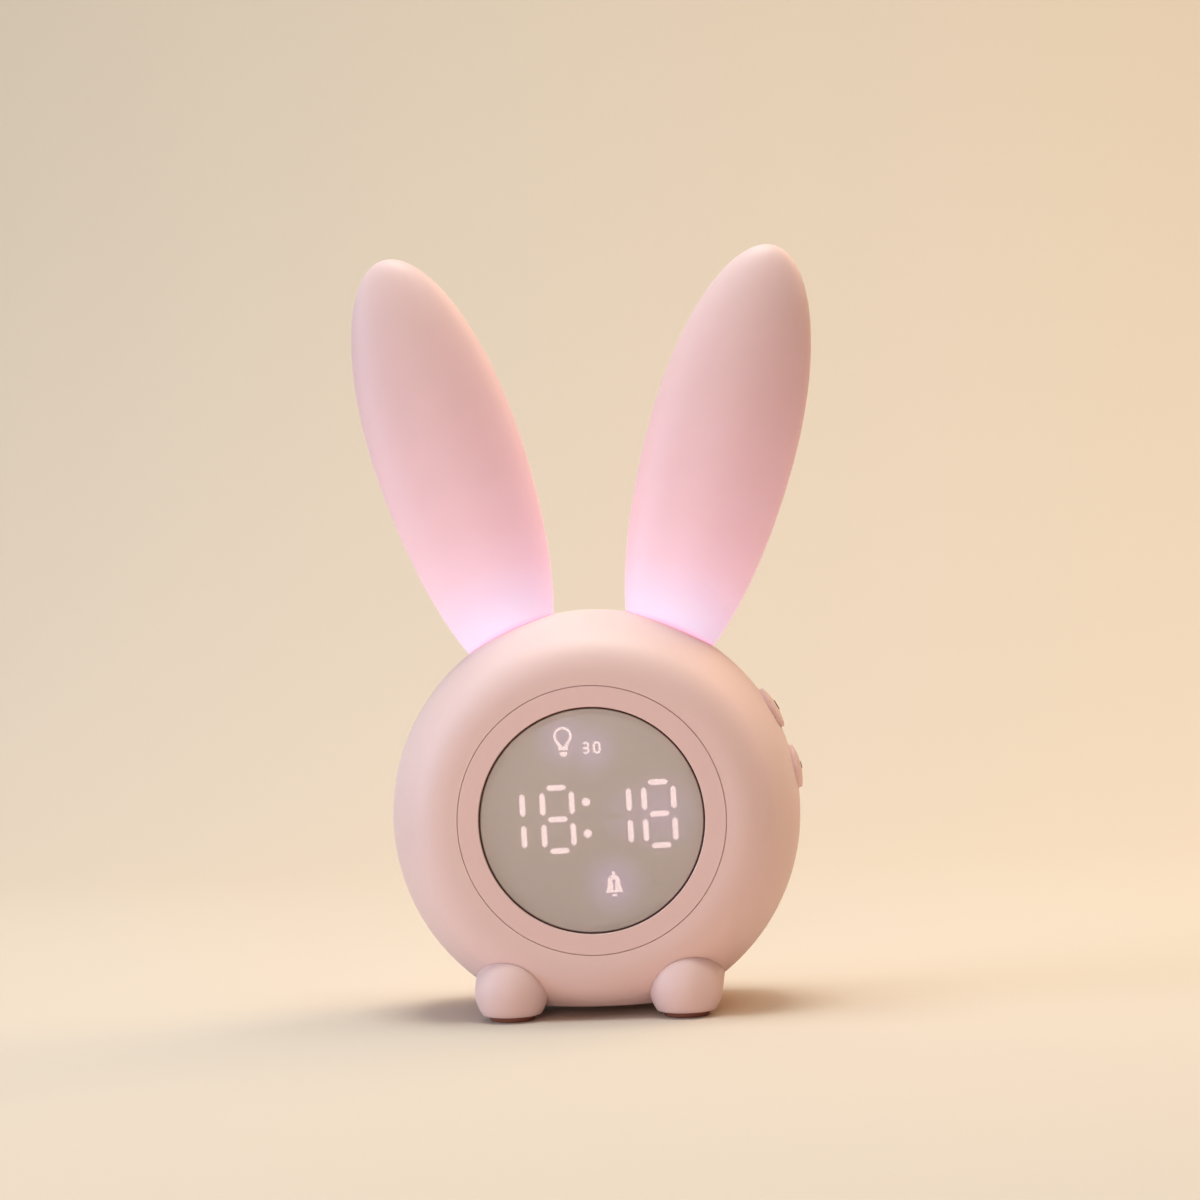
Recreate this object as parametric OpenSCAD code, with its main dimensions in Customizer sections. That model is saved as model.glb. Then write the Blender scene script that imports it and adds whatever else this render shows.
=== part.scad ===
// Rabbit-eared alarm clock with a night light in its ears. The round body stands on two front
// paws and two rear heels. +Z is up, the display faces -Y and +X is the right-hand side as the
// display is read. The origin is on the floor, under the middle of the body.

/* [Body] */
// Diameter of the round body
body_d = 110; // [106:1:140]
// Depth of the body, from its front face to its back face
body_depth = 56; // [54:1:70]
// Width of the rounded rim between the flat faces and the outside
rim_w = 17; // [16.5:0.5:18]
// Radius of the edge of the flat faces
shoulder_r = 12; // [11:0.5:12.5]
// Wall thickness of both body shells
wall = 2.2; // [1.8:0.1:2.6]
// Height of the flat underside above the lowest point of the full circle
base_cut = 5.4; // [2:0.2:5.4]
// Height of the flat underside above the floor
ground_gap = 2.7; // [2.5:0.1:6]
// Distance of the parting line behind the body's centre plane
split_y = 12; // [11.5:0.5:14]

/* [Display] */
// Diameter of the display lens
lens_d = 58.4; // [57:0.2:62]
// Width of the flat bezel between the lens and the shell
bezel_w = 6; // [5:0.1:7]
// Thickness of the lens
lens_t = 2; // [1.5:0.1:2.5]
// How far the lens sits behind the bezel's face
lens_sink = 0.4; // [0.2:0.1:1]
// Height of a digit, over its top and bottom bars
digit_h = 18.2; // [16:0.1:19]
// Distance between a digit's upright bars
digit_w = 7.7; // [7:0.1:8.5]
// Width of a bar
bar_w = 1.65; // [1.4:0.05:2]
// Turn of the display module in its round seat, in degrees
display_turn = 1.5; // [0:0.5:3]

/* [Ears] */
// Greatest width of an ear
ear_w = 40.7; // [36:0.1:50]
// Thickness of an ear, front to back, at its widest
ear_thick = 24.4; // [21:0.1:30]
// Distance from an ear's root to its widest point
ear_belly = 52.4; // [44:0.1:64]
// Distance from the widest point to the tip
ear_tip = 54.8; // [45:0.1:66]
// Length of the half ellipse that the lower half of the outline follows
ear_taper = 67.2; // [66:0.1:80]
// Wall thickness of an ear
ear_wall = 1.8; // [1.2:0.1:2.4]
// Tilt of an ear's centre line from upright, in degrees
ear_tilt = 16.9; // [12:0.1:20]
// Angle from the top of the body to an ear's root, in degrees
ear_at = 24.2; // [22:0.1:28]

/* [Feet] */
// Distance between the centres of the paws
paw_spread = 46; // [42:1:50]
// Width of a paw
paw_w = 19.3; // [17:0.1:21]
// Height of a paw's widest line above the floor, at its front
paw_h = 7.4; // [6.5:0.1:8]
// Height of the top of a paw's front above the floor
paw_top = 17.2; // [15:0.1:18]
// Distance from the centre plane to the front of the paws and to the back of the heels
stance = 31; // [29:0.5:38]
// Width of a heel
heel_w = 14; // [12:0.5:16]
// Diameter of the rubber pad under a paw
paw_pad_d = 12; // [9:0.2:12.6]
// Diameter of the rubber pad under a heel
heel_pad_d = 9; // [7:0.2:9.6]
// Height of the rubber pads that shows
pad_h = 1.3; // [1:0.1:2]

/* [Buttons] */
// Diameter of a side button
button_d = 11.6; // [10:0.1:12.5]
// How far a side button's crown stands out of the body
button_proud = 1.7; // [0.9:0.1:2]
// Travel of a side button
button_travel = 0.6; // [0.3:0.1:0.7]
// Height of the pair of buttons, as an angle above the horizontal
button_at = 20.2; // [14:0.1:22]
// Angle from one button to the next
button_step = 17.7; // [17:0.1:22]
// Travel of the power slider
slider_travel = 3; // [2:0.5:3]

/* [Speaker and battery] */
// Diameter of the speaker
speaker_d = 35; // [30:1:36]
// Depth of the speaker
speaker_depth = 16; // [12:1:18]
// Width of the battery
battery_w = 42; // [36:1:44]
// Height of the battery
battery_h = 26; // [20:1:27]
// Thickness of the battery
battery_t = 8; // [6:0.5:9]

/* [Hidden] */

// Smoothness of round surfaces
$fn = 96;
// A length that reaches past everything
far = 300;
// Gap between pieces that only have to go together
fit = 0.1;
// Gap that a screw's thread leaves in its pilot hole
thread_fit = 0.02;

// Body
body_r = body_d / 2;
half_depth = body_depth / 2;
face_r = body_r - rim_w;
axis_z = body_r - base_cut + ground_gap;
rim_turn = 2 * atan((rim_w - shoulder_r) / (half_depth - shoulder_r));
side_r = shoulder_r + (half_depth - shoulder_r) / sin(rim_turn);
side_at = body_r - side_r;
front_in = half_depth - wall;
rear_in = half_depth - wall;

// Lip of the rear cover that slides into the front shell
lip_len = 3;
lip_t = 1.2;

// Screws: shaft radius, head radius, head height
cover_screw = [1.25, 2.5, 1.8];
small_screw = [0.95, 1.8, 1.3];
boss_wall = 2.2;
cover_boss_r = cover_screw[0] + boss_wall;
cover_tube_r = cover_screw[1] + 1.5;
cover_floor = 3;
cover_screw_len = 12;
cover_reach = body_r - 13;
cover_low_reach = body_r - 10.4;
// The two low screws pass beside the bosses of the paws' screws
cover_low_turn = acos((paw_spread / 2 - small_screw[0] - 2 * boss_wall - cover_screw[0] - 2.4)
    / cover_low_reach);
// Each screw of the rear cover: distance from the axis and angle
cover_at = [
    [cover_reach, 90], [cover_reach, -12], [cover_reach, 192],
    [cover_low_reach, -cover_low_turn], [cover_low_reach, cover_low_turn - 180],
];

// Display, with distances forward of the centre plane
seal_t = 0.45;
lens_r = lens_d / 2;
lens_seat_r = lens_r + seal_t;
bezel_r = lens_r + bezel_w;
seam = 0.12;
lens_front = half_depth - lens_sink;
lens_back = lens_front - lens_t;
bezel_lip = 1.6;
bezel_flange_r = bezel_r + 2.8;
bezel_lug_r = 3.2;
bezel_lug_at = bezel_r + 5.3;
bezel_lug_t = 2;
bezel_lug_back = front_in - 4.3;
mask_r = lens_r - 1.6;
mask_t = 5;
mask_back = lens_back - mask_t;
board_t = 1.6;
display_board_back = mask_back - board_t;
display_post_at = mask_r + 3.6;
display_post_r = 2.2;
display_board_r = display_post_at + 2;
icon_t = 1;
// Centre of each digit, and the height of the row, from the lens centre
digit_at = [-21.9, -8.9, 6.1, 17.8];
colon_at = -1.3;
row_up = 0.6;
// How far the ends of a flat bar and of an upright one stay back from the digit's corners
bar_back = [1.2, 1.1];
upright_step = (digit_h - bar_w) / 4;
bulb_at = [-6.4, 22.3];
minutes_at = [1, 18.85];
bell_at = [4.75, -17.1];
// Where the light comes through behind each icon
icon_lights = [bulb_at + [0, -3], minutes_at, bell_at + [0, -1.3]];

// Ears, with distances along the ear from its root
ear_sink = 1.4;
ear_root = [(body_r - ear_sink) * sin(ear_at), (body_r - ear_sink) * cos(ear_at)];
ear_len = ear_belly + ear_tip;
neck = [10, 5.5];
neck_hole = [6, 4];
neck_end = -7;
rim_pad = 3;
clamp_t = 2;
ear_screw_at = 8;
ear_board_t = 1.2;
ear_led = [3.2, 2.8];
ear_sides = 40;
ear_rings = 30;
cavity_rings = 18;
cavity_start = 4;
cavity_end = ear_len - 3;

// Feet
pad_sink = 0.8;
foot_fit = 0.2;
foot_edge = 0.3;
foot_sides = 36;
foot_rings = 8;
paw_r = paw_w / 2;
paw_ball = [paw_spread / 2, -(stance - paw_r), paw_h];
paw_end = [paw_spread / 2 + 0.6, -9, paw_h + 2.6];
paw_rise = paw_top - paw_h;
heel_r = heel_w / 2;
heel_ball = [22, stance - heel_r, 6];
heel_end = [22, stance - heel_r - 4, 7];
paw_screw_at = [paw_spread / 2 - 0.5, -19.5];
heel_screw_at = [22, 20];
foot_screw_len = 9;
foot_boss_top = 12.7;

// Side buttons, with distances out from the body's axis
button_r = button_d / 2;
button_fit = 0.2;
button_off = body_r * sin(button_step / 2);
button_seat = body_r - 4.65;
flange_t = 1.3;
flange_r = button_r + 1.1;
seat_r = button_r + 2.4;
crown_rise = 1;
crown_r = (button_r * button_r + crown_rise * crown_rise) / (2 * crown_rise);
stem_r = 1.6;
stem_len = 1.4;
plunger_top = button_seat - flange_t - stem_len;
plunger_r = 1.7;
plunger_len = 2;
switch_size = 6;
switch_t = 3.4;
switch_face = plunger_top - 1;
button_board_top = switch_face - switch_t;
button_board_size = [33, 21];
button_post_at = 6.5;
button_post_r = 2.2;

// Back of the clock, with distances behind the centre plane
usb_len = 9.3;
usb_size = [9, 3.2];
main_board_y = half_depth - fit - usb_len;
main_size = [56, 38];
main_up = -19;
main_screw_at = [25.5, 16];
post_r = 2.4;
usb_at = [10, -30];
slider_at = [-10, -30];
slider_size = [4.6, 3.2];
slider_proud = 0.7;
slider_slot = [slider_size.x + slider_travel + 0.8, slider_size.y + 0.4];
switch_body = [9, 4.7, 4.4];
connector = [5.5, 5, 4];
connector_up = -5;
connectors = [-20, -12, -4, 4, 12, 20];
tape_t = 1;
battery_up = -23;
speaker_up = face_r - speaker_d / 2 - 0.5;
speaker_r = speaker_d / 2;
gasket_t = 1;
speaker_front = rear_in - gasket_t;
speaker_back = speaker_front - speaker_depth;
basket_r = speaker_r - 2;
magnet_r = speaker_r * 0.52;
magnet_t = speaker_depth * 0.42;
coil_r = magnet_r * 0.5;
cone_gap = 0.5;
grille_hole_r = 1;
grille_step = 4;

// Leads
lead_r = 0.9;
lead_sides = 8;
lead_steps = 5;

// ------------------------------------------------------------------ frames and shared shapes

// Puts its children on the body's axis, with their z forward out of the display.
module forward() {
    translate([0, 0, axis_z]) rotate([90, 0, 0]) children();
}

// Puts its children on the body's axis, with their z backward out of the rear face.
module backward() {
    translate([0, 0, axis_z]) mirror([0, 0, 1]) rotate([-90, 0, 0]) children();
}

// Stands its children along the right ear, with their z up the ear from its root.
module along_ear() {
    translate([ear_root.x, 0, axis_z + ear_root.y]) rotate([0, ear_tilt, 0]) children();
}

// Points the z of its children out through the side buttons.
module out_of_side() {
    translate([0, 0, axis_z]) rotate([0, 90 - button_at, 0]) children();
}

// Draws its children and their mirror image on the other side of the body.
module both_sides() {
    children();
    mirror([1, 0, 0]) children();
}

module left_side() {
    mirror([1, 0, 0]) children();
}

// Half section of the body: a flat face, a round edge and one long arc, set in by a distance.
module body_section(inset) {
    edge = [face_r, half_depth - shoulder_r];
    depth = half_depth - inset;
    inner = face_r / 2;
    translate([0, -depth]) square([face_r, 2 * depth]);
    for (s = [-1, 1]) translate([edge.x, s * edge.y]) circle(shoulder_r - inset);
    intersection() {
        translate([side_at, 0]) circle(side_r - inset);
        polygon([
            [inner, -(inner - side_at) * tan(rim_turn)],
            [far, -(far - side_at) * tan(rim_turn)],
            [far, (far - side_at) * tan(rim_turn)],
            [inner, (inner - side_at) * tan(rim_turn)],
        ]);
    }
}

// The whole body as a solid, set in by a distance all round, with its flat underside.
module body_solid(inset) {
    difference() {
        forward() rotate_extrude() body_section(inset);
        translate([-far / 2, -far / 2, ground_gap + inset - far]) cube(far);
    }
}

// Everything in front of a plane, and everything behind one.
module in_front_of(y) {
    translate([-far / 2, y - far, -far / 2]) cube(far);
}

module behind(y) {
    translate([-far / 2, y, -far / 2]) cube(far);
}

// Cylinder with its base at z.
module rod(r, z, h) {
    translate([0, 0, z]) cylinder(r = r, h = h);
}

// Flat outline with two round ends, given its half length and half width.
module obround(half) {
    square([2 * (half.x - half.y), 2 * half.y], center = true);
    for (s = [-1, 1]) translate([s * (half.x - half.y), 0]) circle(half.y);
}

module slab(half, z, h) {
    translate([0, 0, z]) linear_extrude(h) obround(half);
}

module block(size, z, h) {
    translate([-size.x / 2, -size.y / 2, z]) cube([size.x, size.y, h]);
}

// Tapping screw whose head rests on z = 0, with its shaft down and a crossed slot on top.
module screw(kind, len) {
    slot = [2.6 * kind[0], 0.5 * kind[0]];
    difference() {
        union() {
            rod(kind[1], 0, kind[2]);
            rod(kind[0], -len, len);
        }
        for (a = [0, 90]) rotate([0, 0, a]) block(slot, kind[2] * 0.45, kind[2]);
    }
}

// Lead along a smooth curve through the points: the curve, then the rings round it.
function curve_point(a, b, c, d, t) =
    0.5 * (2 * b + (c - a) * t + (2 * a - 5 * b + 4 * c - d) * t * t
    + (3 * b - a - 3 * c + d) * t * t * t);
function lead_curve(p) = [
    for (i = [0 : len(p) - 2], k = [0 : lead_steps - 1])
        curve_point(p[max(i - 1, 0)], p[i], p[i + 1], p[min(i + 2, len(p) - 1)], k / lead_steps),
    p[len(p) - 1],
];
function heading(c, i) = let (v = c[min(i + 1, len(c) - 1)] - c[max(i - 1, 0)]) v / norm(v);
function side_of(v) = let (s = cross(v, abs(v.z) < 0.8 ? [0, 0, 1] : [1, 0, 0])) s / norm(s);

module lead(points) {
    c = lead_curve(points);
    n = lead_sides;
    last = len(c) - 1;
    rings = [
        for (i = [0 : last], k = [0 : n - 1])
            let (v = heading(c, i), s = side_of(v), a = 360 * k / n)
                c[i] + lead_r * (cos(a) * s + sin(a) * cross(v, s)),
    ];
    sides = [
        for (i = [0 : last - 1], k = [0 : n - 1]) let (a = i * n + k, b = i * n + (k + 1) % n)
            each [[a, a + n, b], [b, a + n, b + n]],
    ];
    ends = [[for (k = [0 : n - 1]) k], [for (k = [n - 1 : -1 : 0]) last * n + k]];
    translate([0, 0, axis_z]) polyhedron(rings, concat(sides, ends));
}

// ------------------------------------------------------------------ body shells

// Place and direction of each screw of the rear cover, seen from the back.
module at_cover_screws() {
    for (c = cover_at) backward() rotate([0, 0, c[1]]) translate([c[0], 0, 0]) children();
}

module at_bezel_lugs() {
    for (a = [45 : 90 : 315]) forward() rotate([0, 0, a]) translate([bezel_lug_at, 0, 0]) children();
}

module at_foot_screws() {
    for (p = [paw_screw_at, heel_screw_at]) both_sides() translate([p.x, p.y, 0]) children();
}

module at_button_posts() {
    out_of_side() for (s = [-1, 1]) translate([0, s * button_post_at, 0]) children();
}

module at_each_button() {
    out_of_side() for (s = [-1, 1]) translate([s * button_off, 0, 0]) children();
}

module front_bosses() {
    at_cover_screws() rod(cover_boss_r, -half_depth, half_depth + split_y);
    at_bezel_lugs() rod(bezel_lug_at - bezel_flange_r - fit, bezel_lug_back + bezel_lug_t, half_depth);
    at_foot_screws() rod(small_screw[0] + boss_wall, 0, foot_boss_top);
    at_button_posts() rod(button_post_r, button_board_top, body_r);
    at_each_button() rod(seat_r, button_seat, body_r);
    both_sides() along_ear() slab(neck + [rim_pad, rim_pad], neck_end, far / 10);
}

module front_shell() {
    color("#e8c4c0") difference() {
        union() {
            difference() {
                body_solid(0);
                body_solid(wall);
            }
            intersection() {
                body_solid(wall / 2);
                front_bosses();
            }
        }
        behind(split_y);
        forward() rod(bezel_r + seam, 0, far);
        at_cover_screws() rod(cover_screw[0] + thread_fit, split_y - cover_screw_len, far / 4);
        at_bezel_lugs() rod(small_screw[0] + thread_fit, 0, front_in - 0.6);
        at_foot_screws() rod(small_screw[0] + fit, 0, far / 10);
        at_button_posts() rod(small_screw[0] + thread_fit, 0, button_board_top + 6);
        at_each_button() rod(button_r + button_fit, 0, far);
        both_sides() along_ear() slab(neck + [0.2, 0.2], -far / 10, far / 5);
    }
}

module rear_lip() {
    intersection() {
        difference() {
            body_solid(wall + fit);
            body_solid(wall + fit + lip_t);
        }
        translate([0, split_y - lip_len, 0]) behind(0);
        in_front_of(split_y);
    }
    intersection() {
        difference() {
            body_solid(wall / 2);
            body_solid(wall + fit + lip_t);
        }
        behind(split_y);
        in_front_of(split_y + lip_len);
    }
}

module grille_holes() {
    for (ring = [0 : 3]) for (k = [0 : max(6 * ring, 1) - 1])
        translate([0, speaker_up, 0]) rotate([0, 0, 60 * k / max(ring, 1)])
            translate([ring * grille_step, 0, 0]) rod(grille_hole_r, 0, far);
}

module rear_cover() {
    color("#e8c4c0") difference() {
        union() {
            intersection() {
                difference() {
                    body_solid(0);
                    body_solid(wall);
                }
                behind(split_y);
            }
            intersection() {
                body_solid(wall / 2);
                behind(split_y);
                union() {
                    at_cover_screws() rod(cover_tube_r, split_y + fit, half_depth);
                    at_foot_screws() rod(small_screw[0] + boss_wall, 0, foot_boss_top);
                    backward() at_main_screws() rod(post_r, main_board_y, half_depth);
                    backward() translate([0, speaker_up, 0]) difference() {
                        rod(speaker_r + 1.8, speaker_front - 1.5, half_depth);
                        rod(speaker_r + 0.3, 0, far);
                    }
                }
            }
            rear_lip();
        }
        at_cover_screws() {
            rod(cover_screw[0] + fit, 0, far);
            rod(cover_screw[1] + 0.3, split_y + cover_floor, far);
        }
        backward() {
            at_main_screws() rod(small_screw[0] + thread_fit, 0, main_board_y + 5);
            grille_holes();
            translate(usb_at) slab(usb_size / 2 + [0.35, 0.35], rear_in - 1, far);
            translate(slider_at) block(slider_slot, rear_in - 1, far);
        }
        at_foot_screws() rod(small_screw[0] + fit, 0, far / 10);
    }
}

module cover_screws() {
    color("#b9b4ae") at_cover_screws() translate([0, 0, split_y + cover_floor])
        screw(cover_screw, cover_screw_len);
}

// ------------------------------------------------------------------ display

// Flush ring that fills the shell's round opening and carries the lens and the display.
module bezel_ring() {
    bevel = 0.2;
    color("#e6c0bb") difference() {
        union() {
            forward() rotate_extrude() polygon([
                [mask_r + fit, lens_back - bezel_lip], [bezel_flange_r, lens_back - bezel_lip],
                [bezel_flange_r, front_in - 0.05], [bezel_r, front_in - 0.05],
                [bezel_r, half_depth - bevel], [bezel_r - bevel, half_depth],
                [lens_seat_r + bevel, half_depth], [lens_seat_r, half_depth - bevel],
                [lens_seat_r, lens_back], [mask_r + fit, lens_back],
            ]);
            forward() difference() {
                rod(bezel_flange_r, bezel_lug_back, front_in - 0.05 - bezel_lug_back);
                rod(display_post_at + display_post_r / 2, 0, far);
            }
            at_bezel_lugs() rod(bezel_lug_r, bezel_lug_back, bezel_lug_t);
            at_display_posts() rod(display_post_r, mask_back, mask_t - 1);
        }
        at_bezel_lugs() rod(small_screw[0] + fit, 0, far);
        at_display_posts() rod(small_screw[0] + thread_fit, 0, mask_back + 3.6);
    }
}

module at_display_posts() {
    for (a = [90 : 120 : 330]) forward() rotate([0, 0, a])
        translate([display_post_at, 0, 0]) children();
}

module bezel_screws() {
    color("#b9b4ae") at_bezel_lugs() translate([0, 0, bezel_lug_back]) mirror([0, 0, 1])
        screw(small_screw, 3.6);
}

// Dark ring of foam tape round the lens.
module lens_seal() {
    color("#3a2420") forward() difference() {
        rod(lens_seat_r, lens_back, lens_t + 0.1);
        rod(lens_r, 0, far);
    }
}

// Half-mirrored tinted disc over the digits.
module display_lens() {
    edge = 0.15;
    color("#b5a59c") forward() rotate_extrude() polygon([
        [0, lens_back], [lens_r, lens_back], [lens_r, lens_front - edge],
        [lens_r - edge, lens_front], [0, lens_front],
    ]);
}

// One bar with pointed ends, lying along x.
module bar(len) {
    tip = bar_w / 2;
    body = len / 2 - tip;
    polygon([
        [-len / 2, 0], [-body, tip], [body, tip], [len / 2, 0], [body, -tip], [-body, -tip],
    ]);
}

// Places of a digit's bars: the flat ones, and the upright ones turned a quarter. The first
// digit only shows a one or a two, so it has no bar at its upper left.
module at_flat_bars() {
    for (x = digit_at, k = [-2, 0, 2]) translate([x, k * upright_step]) children();
}

module at_upright_bars() {
    for (x = digit_at, side = [-1, 1], k = [-1, 1])
        if (x != digit_at[0] || side >= k)
            translate([x + side * digit_w / 2, k * upright_step]) rotate([0, 0, 90]) children();
}

module at_colon() {
    for (k = [-1, 1]) translate([colon_at, k * upright_step]) children();
}

module segments_2d() {
    rotate([0, 0, display_turn]) translate([0, row_up]) {
        at_flat_bars() bar(digit_w - 2 * bar_back[0]);
        at_upright_bars() bar(2 * upright_step - 2 * bar_back[1]);
        at_colon() circle(1.1);
    }
}

module ring_2d(r, w) {
    difference() {
        circle(r);
        circle(r - w);
    }
}

// A bulb's outline drawn in to its neck, with two bars of its cap.
module bulb_2d() {
    outer = 2.43;
    stroke = 0.68;
    neck_half = 0.95;
    neck_at = -3.3;
    difference() {
        union() {
            circle(outer);
            polygon([[-2.1, -1.2], [2.1, -1.2], [neck_half, neck_at], [-neck_half, neck_at]]);
        }
        circle(outer - stroke);
        polygon([
            [-1.45, -0.9], [1.45, -0.9], [neck_half - stroke, neck_at + stroke],
            [stroke - neck_half, neck_at + stroke],
        ]);
    }
    translate([0, neck_at]) square([2.5, 0.8], center = true);
    translate([0, -4.35]) square([2.1, 0.4], center = true);
    intersection() {
        translate([0, -4.35]) circle(1.05);
        translate([0, -5.35]) square([2.1, 2], center = true);
    }
}

// The timer's minutes: a three and a nought made of plain strokes.
module minutes_2d() {
    stroke = 0.62;
    for (y = [-0.68, 0.68]) translate([-1.45, y]) difference() {
        ring_2d(0.98, stroke);
        translate([-1.1, 0]) square([1.4, 0.9], center = true);
    }
    translate([1.4, 0]) difference() {
        union() {
            square([2.1, 1.2], center = true);
            for (y = [-1, 1]) translate([0, y * 0.6]) circle(1.05);
        }
        square([2.1 - 2 * stroke, 1.2], center = true);
        for (y = [-1, 1]) translate([0, y * 0.6]) circle(1.05 - stroke);
    }
}

// A bell with a knob, a slot down its middle and its clapper below.
module bell_2d() {
    difference() {
        union() {
            translate([0, 0.9]) circle(1.6);
            polygon([
                [-1.6, 0.9], [1.6, 0.9], [1.75, -0.5], [2.3, -2.2], [-2.3, -2.2], [-1.75, -0.5],
            ]);
        }
        translate([0, 0.7]) circle(0.45);
        translate([0, -0.4]) square([0.5, 2.2], center = true);
    }
    translate([0, 2.5]) square([0.45, 0.6], center = true);
    translate([0, 2.95]) circle(0.45);
    translate([0, -2.95]) obround([0.7, 0.3]);
}

module icons_2d() {
    rotate([0, 0, display_turn]) {
        translate(bulb_at) bulb_2d();
        translate(minutes_at) minutes_2d();
        translate(bell_at) bell_2d();
    }
}

// Black light box: an open well behind every bar, and a shallow window for every icon.
module display_mask() {
    color("#241d1c") forward() difference() {
        rod(mask_r, mask_back, mask_t - 0.05);
        translate([0, 0, mask_back - 1]) linear_extrude(mask_t + 2) segments_2d();
        translate([0, 0, lens_back - icon_t]) linear_extrude(icon_t + 1) icons_2d();
        rotate([0, 0, display_turn]) for (p = icon_lights)
            translate(p) rod(1, 0, lens_back - icon_t);
    }
}

module display_segments() {
    color("#f4e6ea") forward() translate([0, 0, lens_back - icon_t]) linear_extrude(icon_t - 0.05)
        segments_2d();
}

module display_icons() {
    color("#f4e6ea") forward() translate([0, 0, lens_back - icon_t]) linear_extrude(icon_t - 0.05)
        icons_2d();
}

module display_board() {
    color("#2f6b4a") difference() {
        forward() rod(display_board_r, display_board_back, board_t);
        at_display_posts() rod(small_screw[0] + fit, 0, far);
    }
}

module display_leds() {
    led = [1.4, 0.8];
    led_h = 0.8;
    color("#f1efe2") forward() rotate([0, 0, display_turn]) {
        translate([0, row_up, 0]) {
            at_flat_bars() block(led, mask_back, led_h);
            at_upright_bars() block(led, mask_back, led_h);
            at_colon() block(led, mask_back, led_h);
        }
        for (p = icon_lights) translate(p) block(led, mask_back, led_h);
    }
}

module display_board_screws() {
    color("#b9b4ae") at_display_posts() translate([0, 0, display_board_back])
        mirror([0, 0, 1]) screw(small_screw, 5);
}

// ------------------------------------------------------------------ ears

// Half width of the ear's outline at a distance s from its root.
function ear_half(s) = ear_w / 2 * sqrt(max(0, 1 - pow(
    s < ear_belly ? (ear_belly - s) / ear_taper : (s - ear_belly) / ear_tip, 2)));

// Body's outside radius at a distance y from its centre plane.
function body_reach(y) = side_at + sqrt(side_r * side_r - y * y);

// Height of the body's surface under a point beside the ear's centre line.
ear_lean = ear_at - ear_tilt;
body_below = [-(body_r - ear_sink) * sin(ear_lean), -(body_r - ear_sink) * cos(ear_lean)];
function seat_s(x, y) = body_below.y
    + sqrt(pow(body_reach(y), 2) - pow(x - body_below.x, 2)) + fit;

// Point on the ear at s, in the direction a round it, set in by a wall.
function ear_point(s, a, inset) =
    [(ear_half(s) - inset) * cos(a),
     (ear_half(s) * ear_thick / ear_w - inset) * sin(a), s];

// Distance s at which the ear's side comes down onto the body, in the direction a.
function ear_foot(a, s = 0, n = 6) = n == 0 ? s
    : let (p = ear_point(s, a, 0)) ear_foot(a, seat_s(p.x, p.y), n - 1);

// Point of an obround outline in the direction a.
function neck_point(half, a) = let (
    straight = half.x - half.y,
    p = [half.y * cos(a) + sign(cos(a)) * straight * min(1, abs(cos(a)) * 3), half.y * sin(a)]) p;

function ear_ring(kind, j) = [
    for (k = [0 : ear_sides - 1]) let (a = 360 * (k + 0.5) / ear_sides)
        kind == "outside"
            ? let (s0 = ear_foot(a)) ear_point(s0 + (ear_len - s0) * sin(90 * j / ear_rings), a, 0)
        : kind == "seat"
            ? let (p = neck_point(neck, a)) [p.x, p.y, seat_s(p.x, p.y)]
        : kind == "neck" ? let (p = neck_point(neck, a)) [p.x, p.y, neck_end + 0.15]
        : kind == "mouth" ? let (p = neck_point(neck_hole, a)) [p.x, p.y, j]
        : ear_point(cavity_start + (cavity_end - cavity_start) * sin(90 * j / cavity_rings),
            a, ear_wall),
];

// One closed skin: from the tip down the outside, over the seat, round the neck and up the
// inside of the hollow.
module ear_skin() {
    rings = [
        for (j = [ear_rings - 1 : -1 : 0]) ear_ring("outside", j),
        ear_ring("seat", 0), ear_ring("neck", 0),
        ear_ring("mouth", neck_end + 0.15), ear_ring("mouth", 1),
        for (j = [0 : cavity_rings - 2]) ear_ring("hollow", j),
    ];
    n = ear_sides;
    last = len(rings) - 1;
    points = concat([for (r = rings) each r], [[0, 0, ear_len], [0, 0, cavity_end]]);
    skin = [
        for (i = [0 : last - 1], k = [0 : n - 1]) let (a = i * n + k, b = i * n + (k + 1) % n)
            each [[a, b, a + n], [b, b + n, a + n]],
    ];
    tips = [
        for (k = [0 : n - 1]) let (m = (k + 1) % n)
            each [[k, (last + 1) * n, m], [last * n + m, (last + 1) * n + 1, last * n + k]],
    ];
    polyhedron(points, concat(skin, tips));
}

module ear() {
    color("#f0c6cf") along_ear() difference() {
        ear_skin();
        for (s = [-1, 1]) translate([s * ear_screw_at, 0, 0])
            rod(small_screw[0] + thread_fit, neck_end - 1, 6);
    }
}

module ear_right() {
    ear();
}

module ear_left() {
    left_side() ear();
}

// Plate inside the body that pulls the ear down onto the shell.
module ear_clamp() {
    color("#d9d4cf") along_ear() difference() {
        slab(neck + [rim_pad, rim_pad - 0.5], neck_end - clamp_t - 0.05, clamp_t);
        block([4, 3], neck_end - far / 2, far);
        for (s = [-1, 1]) translate([s * ear_screw_at, 0, 0])
            rod(small_screw[0] + fit, neck_end - 2 * clamp_t, 3 * clamp_t);
    }
}

module ear_clamp_right() {
    ear_clamp();
}

module ear_clamp_left() {
    left_side() ear_clamp();
}

module ear_light_board() {
    color("#eeeeea") along_ear() slab(neck_hole - [0.4, 0.4], neck_end - 0.05, ear_board_t);
}

module ear_light_board_right() {
    ear_light_board();
}

module ear_light_board_left() {
    left_side() ear_light_board();
}

module ear_leds() {
    color("#f7f3d8") along_ear() for (s = [-1 : 1]) translate([s * 3.6, 0, 0])
        block(ear_led, neck_end - 0.05 + ear_board_t, 1.4);
}

module ear_leds_right() {
    ear_leds();
}

module ear_leds_left() {
    left_side() ear_leds();
}

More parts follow.
